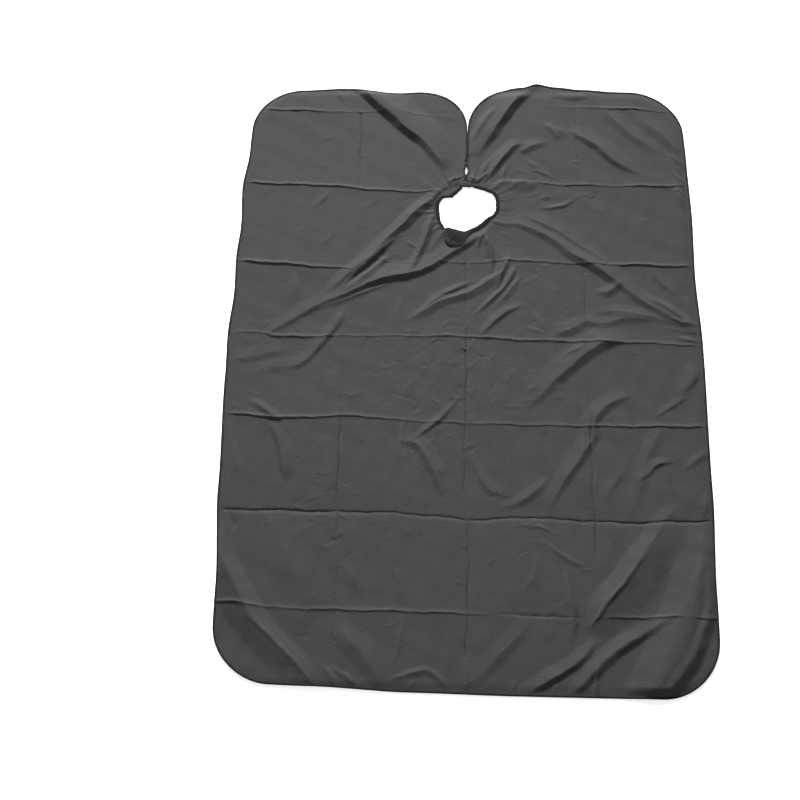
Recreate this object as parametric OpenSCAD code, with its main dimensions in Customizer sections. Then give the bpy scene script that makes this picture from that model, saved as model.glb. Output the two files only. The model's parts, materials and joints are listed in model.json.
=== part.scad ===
// Barber cape laid flat on its back: a cloth panel with a bound edge, a
// gathered neckband with elastic inside it, and a sewn press stud that joins
// the two ends of the neckband over the back slit. +Y points to the slit.

/* [Cape] */
// Width of the cape laid flat
cape_w = 1000; // [900:10:1200]
// Length of the cape laid flat
cape_l = 1400; // [1300:10:1600]
// Radius of the four outer corners
corner_r = 115; // [80:5:150]
// Radius of the two corners beside the mouth of the back slit
slit_corner_r = 110; // [80:5:140]
// Gap between the two edges of the back slit
slit_gap = 1; // [0.6:0.2:2]
// Thickness that stands for the taffeta and its creases
cloth_t = 0.8; // [0.7:0.1:1.2]

/* [Edge binding] */
// Width of the tape folded round the cloth's edge
binding_w = 5; // [4:0.5:8]
// How far the cloth's edge goes into the tape
binding_tuck = 3.2; // [2:0.2:3.4]
// Height of one leg of the folded tape
tape_leg = 0.25; // [0.2:0.05:0.4]

/* [Neck] */
// Distance of the neck opening's centre from the cape's centre
neck_y = 370; // [340:5:400]
// Radius of the closed neck opening
neck_r = 60; // [55:1:66]
// Width of the neckband
band_w = 12; // [12:1:16]
// Height of the gathered neckband
band_h = 4.4; // [4.2:0.1:4.6]
// Width of the elastic inside the neckband
elastic_w = 6; // [5:0.5:7]
// Thickness of the elastic
elastic_t = 1; // [0.8:0.1:1.2]
// Thickness of one lapped end of the neckband
lap_t = 1.4; // [1.2:0.1:1.4]

/* [Folds] */
// Crease that the lower half folds up along
fold_y = 42; // [0:2:80]
// Direction of the right flap's fold, from the neck's centre
right_fold_angle = 52; // [46:1:58]
// Where the left flap's fold meets the slit
left_fold_y = 458; // [452:2:480]
// Direction of the left flap's fold, from the slit
left_fold_angle = 45; // [40:1:52]
// Width left clear between the cloth on the two sides of a fold
fold_gap = 1; // [0.8:0.2:2]

/* [Press stud] */
// Radius of both halves of the press stud
snap_r = 5.2; // [5:0.1:5.6]
// Thickness of the sheet metal of both halves
snap_t = 0.5; // [0.4:0.05:0.6]
// Radius of the stud's head
head_r = 1.65; // [1.5:0.05:1.7]
// Radius of the four sewing holes in each half
sew_hole_r = 0.7; // [0.6:0.05:0.75]

/* [Stitching] */
// Length of one stitch
stitch_l = 3; // [2.6:0.2:3.4]
// Distance from one stitch to the next
stitch_pitch = 4.5; // [4:0.5:8]
// Width of a row of thread
thread_w = 0.5; // [0.4:0.1:0.7]
// Height of a row of thread
thread_h = 0.25; // [0.15:0.05:0.3]

/* [Hidden] */

big = 4000;                // longer than anything in the cape
seam_gap = 0.2;            // between pieces that are sewn to each other
slip = 0.05;               // between the cloth's edge and the tape round it
cut_extra = 1;             // how far a cutting tool passes a face
ring_fn = 128;

slot_h = cloth_t - tape_leg + slip;
binding_t = tape_leg + slot_h + tape_leg;
seam_inset = binding_w - 1.3;

band_out_r = neck_r + band_w;
band_mid_r = neck_r + band_w / 2;
channel_w = elastic_w + 1;
channel_h = elastic_t + 0.8;

// The two ends of the neckband lie over each other as straight strips
lap_y = neck_y + neck_r;   // inner edge of both ends
lap_start_x = 20;          // the strips leave the round band here
lap_under_x = 12;          // the left end reaches this far past the slit
lap_over_x = 14;           // the right end reaches this far past the slit

snap_y = lap_y + band_w / 2;
boss_r = 2.9;              // raised middle of the socket
socket_h = 1.6;
socket_z = lap_t + snap_t + 0.4;
over_z = socket_z + socket_h;
sew_hole_x = 4.05;         // from the snap's centre to a sewing hole
cavity_r = head_r + 0.45;
spring_wire_r = 0.22;

cloth_colour = [0.28, 0.28, 0.29];
binding_colour = [0.10, 0.10, 0.11];
thread_colour = [0.14, 0.14, 0.15];
elastic_colour = [0.20, 0.20, 0.20];
metal_colour = [0.55, 0.55, 0.57];

// ---- outlines -------------------------------------------------------------

// A plate from corner lo to corner hi whose four corners have their own
// radii: bottom left, bottom right, top right, top left
module plate(lo, hi, radii) {
    corners = [lo, [hi[0], lo[1]], hi, [lo[0], hi[1]]];
    difference() {
        translate(lo) square(hi - lo);
        for (i = [0:3])
            if (radii[i] > 0)
                translate(corners[i])
                    rotate(90 * i)
                        difference() {
                            translate([-cut_extra, -cut_extra])
                                square(radii[i] + cut_extra);
                            translate([radii[i], radii[i]])
                                circle(radii[i], $fn = 96);
                        }
    }
}

// The cape's outline, moved in from its edge by inset
module outline(inset) {
    x = cape_w / 2 - inset;
    y = cape_l / 2 - inset;
    slit_x = slit_gap / 2 + inset;
    outer = corner_r - inset;
    inner = slit_corner_r - inset;
    plate([-x, -y], [x, neck_y], [outer, outer, 0, 0]);
    plate([-x, neck_y - cut_extra], [-slit_x, y], [0, 0, inner, outer]);
    plate([slit_x, neck_y - cut_extra], [x, y], [0, 0, outer, inner]);
}

// The corner beside the slit, beyond a fold that leaves the slit at start_y
module corner_region(start_y, angle, grow) {
    intersection() {
        translate([0, start_y])
            rotate(angle)
                translate([-big / 2, -grow])
                    square(big);
        translate([0, start_y]) square(big);
    }
}

module right_region(grow) {
    corner_region(neck_y, right_fold_angle, grow);
}

module left_region(grow) {
    mirror([1, 0])
        corner_region(left_fold_y, left_fold_angle, grow);
}

// Everything below the crease that the lower half folds along
module lower_region(grow) {
    translate([-big / 2, fold_y + grow - big]) square(big);
}

// ---- the cape's four folding parts ----------------------------------------

module prism() {
    linear_extrude(big, center = true) children();
}

module in_right_flap() {
    intersection() {
        children();
        prism() right_region(-fold_gap / 2);
    }
}

module in_left_flap() {
    intersection() {
        children();
        prism() left_region(-fold_gap / 2);
    }
}

module in_lower() {
    intersection() {
        children();
        prism() lower_region(-fold_gap / 2);
    }
}

module in_upper() {
    difference() {
        children();
        prism() right_region(fold_gap / 2);
        prism() left_region(fold_gap / 2);
        prism() lower_region(fold_gap / 2);
    }
}

// ---- cloth, its binding and the binding's seam -----------------------------

// What the neckband and its two lapped ends take out of the cloth
module neck_cut() {
    reach = lap_start_x + cut_extra;
    prism() {
        translate([0, neck_y])
            circle(band_out_r + seam_gap, $fn = ring_fn);
        translate([-reach, neck_y])
            square([2 * reach, band_out_r + 2 * seam_gap]);
    }
}

// The panel, with a thinner edge that goes into the binding
module cloth() {
    edge_z = tape_leg + slip;
    color(cloth_colour)
        difference() {
            union() {
                linear_extrude(cloth_t) outline(binding_w + seam_gap);
                translate([0, 0, edge_z])
                    linear_extrude(cloth_t - edge_z)
                        outline(binding_w - binding_tuck);
            }
            neck_cut();
        }
}

// The tape: a strip with a slot along its inner side for the cloth's edge
module binding() {
    color(binding_colour)
        difference() {
            linear_extrude(binding_t) outline(0);
            prism() outline(binding_w);
            translate([0, 0, tape_leg])
                linear_extrude(slot_h)
                    outline(binding_w - binding_tuck - seam_gap);
            neck_cut();
        }
}

// The row of thread along the top of the tape
module seam() {
    color(thread_colour)
        difference() {
            translate([0, 0, binding_t])
                linear_extrude(thread_h) outline(seam_inset);
            prism() outline(seam_inset + thread_w);
            neck_cut();
        }
}

module upper_cloth() {
    in_upper() cloth();
}

module upper_binding() {
    in_upper() binding();
}

module upper_seam() {
    in_upper() seam();
}

module lower_cloth() {
    in_lower() cloth();
}

module lower_binding() {
    in_lower() binding();
}

module lower_seam() {
    in_lower() seam();
}

module left_flap_cloth() {
    in_left_flap() cloth();
}

module left_flap_binding() {
    in_left_flap() binding();
}

module left_flap_seam() {
    in_left_flap() seam();
}

module right_flap_cloth() {
    in_right_flap() cloth();
}

module right_flap_binding() {
    in_right_flap() binding();
}

module right_flap_seam() {
    in_right_flap() seam();
}

// ---- neckband -------------------------------------------------------------

// A flat ring round the neck opening, at mid-height of the band
module ring(r_in, r_out, h) {
    translate([0, neck_y, (band_h - h) / 2])
        difference() {
            cylinder(h = h, r = r_out, $fn = ring_fn);
            translate([0, 0, -cut_extra])
                cylinder(h = h + 2 * cut_extra, r = r_in, $fn = ring_fn);
        }
}

// A ring that is centred in the band's width
module mid_ring(w, h) {
    ring(band_mid_r - w / 2, band_mid_r + w / 2, h);
}

module casing() {
    difference() {
        ring(neck_r, band_out_r, band_h);
        mid_ring(channel_w, channel_h);
    }
}

// Cuts away the part of the ring, from x0 to x1, where the ends lap
module without_lap(x0, x1) {
    difference() {
        children();
        translate([x0, neck_y, -cut_extra])
            cube([x1 - x0, 2 * neck_r, big]);
    }
}

// The band on the upper half, and its left end that goes under
module neckband() {
    color(cloth_colour) {
        in_upper()
            without_lap(-lap_start_x, lap_start_x) casing();
        translate([-lap_start_x - 0.1, lap_y, 0])
            cube([lap_start_x + 0.1 + lap_under_x, band_w, lap_t]);
    }
}

module neckband_right_end() {
    color(cloth_colour)
        in_right_flap()
            without_lap(-neck_r, lap_start_x + seam_gap) casing();
}

// The right end, which rises over the press stud and carries its socket
module neckband_tab() {
    end_x = snap_r + 4;
    profile = [
        [lap_start_x, 0.6], [lap_start_x, band_h - 0.4],
        [end_x, over_z + lap_t], [-lap_over_x, over_z + lap_t],
        [-lap_over_x, over_z], [end_x - 2, over_z]
    ];
    color(cloth_colour)
        translate([0, lap_y + band_w, 0])
            rotate([90, 0, 0])
                linear_extrude(band_w) polygon(profile);
}

module neck_elastic() {
    color(elastic_colour)
        in_upper()
            without_lap(-lap_start_x - 2, lap_start_x)
                mid_ring(elastic_w, elastic_t);
}

module right_end_elastic() {
    color(elastic_colour)
        in_right_flap()
            without_lap(-neck_r, lap_start_x + 2)
                mid_ring(elastic_w, elastic_t);
}

// One row of stitches on the band's top, from angle a0 to angle a1
module stitch_row(a0, a1) {
    row_r = band_out_r - 1.4;
    count = floor((a1 - a0) / 360 * 2 * PI * row_r / stitch_pitch);
    color(thread_colour)
        for (i = [0:count - 1])
            translate([0, neck_y, band_h])
                rotate(a0 + (i + 0.5) * (a1 - a0) / count)
                    translate([row_r - thread_w / 2, -stitch_l / 2, 0])
                        cube([thread_w, stitch_l, thread_h]);
}

module neckband_stitching() {
    stitch_row(110, 360 + right_fold_angle - 1);
}

module right_end_stitching() {
    stitch_row(right_fold_angle + 1, 72);
}

// ---- press stud -----------------------------------------------------------

module at_snap(z) {
    translate([0, snap_y, z]) children();
}

// Four copies round the press stud's centre, between the cape's axes
module at_sew_holes() {
    for (i = [0:3])
        rotate(45 + 90 * i)
            translate([sew_hole_x, 0, 0])
                children();
}

// Four bundles of thread that run from a sewing hole over the rim
module sew_thread(z) {
    color(thread_colour)
        at_snap(z)
            at_sew_holes()
                translate([-0.4, -0.35, 0])
                    cube([snap_r - sew_hole_x + 0.4, 0.7, thread_h]);
}

// The lower half: a disc with a hollow knob that has a rounded head
module snap_stud() {
    neck_r0 = head_r - 0.25;
    top = over_z - lap_t - 0.6;
    wall = 0.35;
    profile = [
        [0.9, 0], [snap_r, 0], [snap_r, snap_t], [neck_r0 + 0.3, snap_t],
        [neck_r0, snap_t + 0.25], [neck_r0, top - 0.9],
        [head_r, top - 0.55], [head_r, top - 0.3], [head_r - 0.4, top],
        [0, top], [0, top - wall], [0.9, top - wall]
    ];
    color(metal_colour)
        at_snap(lap_t)
            difference() {
                rotate_extrude($fn = 64) polygon(profile);
                at_sew_holes()
                    translate([0, 0, -cut_extra])
                        cylinder(h = 3, r = sew_hole_r, $fn = 32);
            }
}

// The upper half: a disc with a raised, hollow middle that holds the spring
module snap_socket() {
    groove_r = cavity_r + 0.5;
    profile = [
        [cavity_r, 0], [boss_r, 0], [boss_r, socket_h - snap_t],
        [snap_r, socket_h - snap_t], [snap_r, socket_h], [0, socket_h],
        [0, socket_h - 0.3], [cavity_r, socket_h - 0.3],
        [cavity_r, 0.95], [groove_r, 0.95], [groove_r, 0.35],
        [cavity_r, 0.35]
    ];
    color(metal_colour)
        at_snap(socket_z)
            difference() {
                rotate_extrude($fn = 64) polygon(profile);
                at_sew_holes()
                    translate([0, 0, socket_h - snap_t - cut_extra])
                        cylinder(h = 3, r = sew_hole_r, $fn = 32);
            }
}

// A split ring of wire in the socket's groove
module snap_spring() {
    color(metal_colour)
        at_snap(socket_z + 0.65)
            difference() {
                rotate_extrude($fn = 64)
                    translate([cavity_r + 0.22, 0])
                        circle(spring_wire_r, $fn = 24);
                translate([0, -0.4, -1]) cube([snap_r, 0.8, 2]);
            }
}

module stud_thread() {
    sew_thread(lap_t + snap_t);
}

module socket_thread() {
    sew_thread(over_z - snap_t - thread_h);
}

// ---- the parts ------------------------------------------------------------

upper_cloth();
upper_binding();
upper_seam();
neckband();
neck_elastic();
neckband_stitching();
snap_stud();
stud_thread();
lower_cloth();
lower_binding();
lower_seam();
left_flap_cloth();
left_flap_binding();
left_flap_seam();
right_flap_cloth();
right_flap_binding();
right_flap_seam();
neckband_right_end();
right_end_elastic();
right_end_stitching();
neckband_tab();
snap_socket();
snap_spring();
socket_thread();
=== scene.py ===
"""Barber cape laid flat: creased taffeta panel, bound edge, gathered neckband and hidden press stud."""
import json
import math

import bpy
import numpy as np
from mathutils import Euler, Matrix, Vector
from mathutils.geometry import delaunay_2d_cdt
from mathutils.kdtree import KDTree


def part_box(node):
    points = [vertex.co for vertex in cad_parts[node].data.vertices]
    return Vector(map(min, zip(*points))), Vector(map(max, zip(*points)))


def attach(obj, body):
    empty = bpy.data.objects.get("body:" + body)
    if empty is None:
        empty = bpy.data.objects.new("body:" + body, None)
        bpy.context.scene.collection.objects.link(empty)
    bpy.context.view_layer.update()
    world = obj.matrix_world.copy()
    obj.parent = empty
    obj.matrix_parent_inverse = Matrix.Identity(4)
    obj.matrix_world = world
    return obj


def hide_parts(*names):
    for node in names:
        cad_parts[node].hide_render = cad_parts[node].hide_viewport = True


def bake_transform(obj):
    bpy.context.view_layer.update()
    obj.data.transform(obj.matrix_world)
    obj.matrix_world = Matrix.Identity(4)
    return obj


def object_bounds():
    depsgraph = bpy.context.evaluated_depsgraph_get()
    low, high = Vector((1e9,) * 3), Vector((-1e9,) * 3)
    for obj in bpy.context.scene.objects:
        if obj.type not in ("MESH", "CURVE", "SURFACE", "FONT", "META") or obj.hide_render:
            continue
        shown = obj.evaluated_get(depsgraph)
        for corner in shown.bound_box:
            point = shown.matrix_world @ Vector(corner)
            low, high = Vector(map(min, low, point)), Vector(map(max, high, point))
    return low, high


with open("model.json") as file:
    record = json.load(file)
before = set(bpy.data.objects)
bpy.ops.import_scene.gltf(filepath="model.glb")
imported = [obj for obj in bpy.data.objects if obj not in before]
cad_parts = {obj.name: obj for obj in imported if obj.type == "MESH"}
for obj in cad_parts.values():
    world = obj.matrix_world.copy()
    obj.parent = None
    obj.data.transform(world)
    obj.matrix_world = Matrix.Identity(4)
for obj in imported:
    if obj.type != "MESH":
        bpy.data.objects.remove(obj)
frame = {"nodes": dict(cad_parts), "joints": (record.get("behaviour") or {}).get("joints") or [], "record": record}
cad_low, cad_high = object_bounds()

MM = 0.001

# ---- sizes and places from the frame ---------------------------------------

JOINTS = {joint["name"]: joint for joint in frame["joints"]}
MOUNTS = {mount["name"]: mount for mount in frame["record"]["mounts"]}
HALF_W = cad_high.x
HALF_L = cad_high.y
SLIT_X = -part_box("left_flap_binding")[1].x
NECK = np.array(MOUNTS["neck_opening"]["pos_m"][:2])
NECK_R = MOUNTS["neck_opening"]["dims"]["r_mm"] * MM
BAND_OUT_R = NECK[1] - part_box("neckband")[0].y
BAND_W = BAND_OUT_R - NECK_R
BAND_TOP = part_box("neckband")[1].z
TAPE_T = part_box("upper_binding")[1].z
TAB_LOW, TAB_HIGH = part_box("neckband_tab")
LAP_Y = TAB_LOW.y
UNDER_X = 12 * MM          # the left end of the band reaches this far right
UNDER_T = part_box("snap_stud")[0].z
FOLD_Y = JOINTS["front_fold"]["pos_m"][1]

CORNER_R = 115 * MM
SLIT_CORNER_R = 110 * MM
TAPE_W = 5 * MM
SEAM_INSET = 3.9 * MM
CLOTH_INSET = 2 * MM       # the cloth's edge lies inside the tape
CLOTH_Z = 0.5 * MM         # lowest height of the cloth's surface
TUCK = 4 * MM              # how far the cloth goes in under the neckband

GRID = 3.9 * MM            # spacing of the cloth's points
NECK_GRID = 2.0 * MM       # and round the neckband
NECK_ZONE = 40 * MM        # how far from the band the fine points reach
ROW_STEP = 3.0 * MM        # and along the creases
FOOT_ROWS_TO = 30          # a fold's side this wide, in mm, or wider has no row of points at its foot


def rng(seed):
    """Seeded draws, so that every run makes the same cape."""
    return np.random.default_rng(seed)


def smooth(t):
    """Eases from 0 to 1 as t goes from 0 to 1."""
    t = np.clip(t, 0, 1)
    return t * t * (3 - 2 * t)


# ---- paths -----------------------------------------------------------------

def arc(centre, radius, start, end, step):
    """Points about step apart on an arc between two angles in degrees, and their outward directions."""
    count = max(2, int(abs(math.radians(end - start)) * radius / step))
    a = np.radians(np.linspace(start, end, count + 1))
    out = np.stack([np.cos(a), np.sin(a)], axis=1)
    return np.array(centre) + radius * out, out


def line(a, b, normal, step):
    """Points about step apart from a to b, each with the same normal."""
    a, b = np.array(a, float), np.array(b, float)
    count = max(1, int(np.linalg.norm(b - a) / step))
    t = np.linspace(0, 1, count + 1)[:, None]
    return a + t * (b - a), np.tile(np.array(normal, float), (count + 1, 1))


def edge_path(step):
    """The cape's edge and its outward normals, from the slit's left foot round to its right foot."""
    w, l, s = HALF_W, HALF_L, SLIT_X
    r, q = CORNER_R, SLIT_CORNER_R
    foot = LAP_Y + BAND_W
    parts = [
        line((-s, foot), (-s, l - q), (1, 0), step),
        arc((-s - q, l - q), q, 0, 90, step),
        line((-s - q, l), (-w + r, l), (0, 1), step),
        arc((-w + r, l - r), r, 90, 180, step),
        line((-w, l - r), (-w, -l + r), (-1, 0), step),
        arc((-w + r, -l + r), r, 180, 270, step),
        line((-w + r, -l), (w - r, -l), (0, -1), step),
        arc((w - r, -l + r), r, 270, 360, step),
        line((w, -l + r), (w, l - r), (1, 0), step),
        arc((w - r, l - r), r, 0, 90, step),
        line((w - r, l), (s + q, l), (0, 1), step),
        arc((s + q, l - q), q, 90, 180, step),
        line((s, l - q), (s, foot), (-1, 0), step),
    ]
    points = np.concatenate([p if i == 0 else p[1:] for i, (p, n) in enumerate(parts)])
    normals = np.concatenate([n if i == 0 else n[1:] for i, (p, n) in enumerate(parts)])
    return points, normals


def spline(points, step):
    """A smooth curve through the rows of points, with its points about step apart."""
    p = np.array(points, float)
    p = np.concatenate([[2 * p[0] - p[1]], p, [2 * p[-1] - p[-2]]])
    out = []
    for a, b, c, d in zip(p, p[1:], p[2:], p[3:]):
        count = max(2, int(np.linalg.norm((c - b)[:2]) / step))
        t = np.linspace(0, 1, count, endpoint=False)[:, None]
        out.append(0.5 * (2 * b + (c - a) * t + (2 * a - 5 * b + 4 * c - d) * t**2
                          + (3 * b - a - 3 * c + d) * t**3))
    return np.concatenate(out + [p[-2:-1]])


# ---- the folds, listed in mm: points (x, y, height), left width, right width ----

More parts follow.
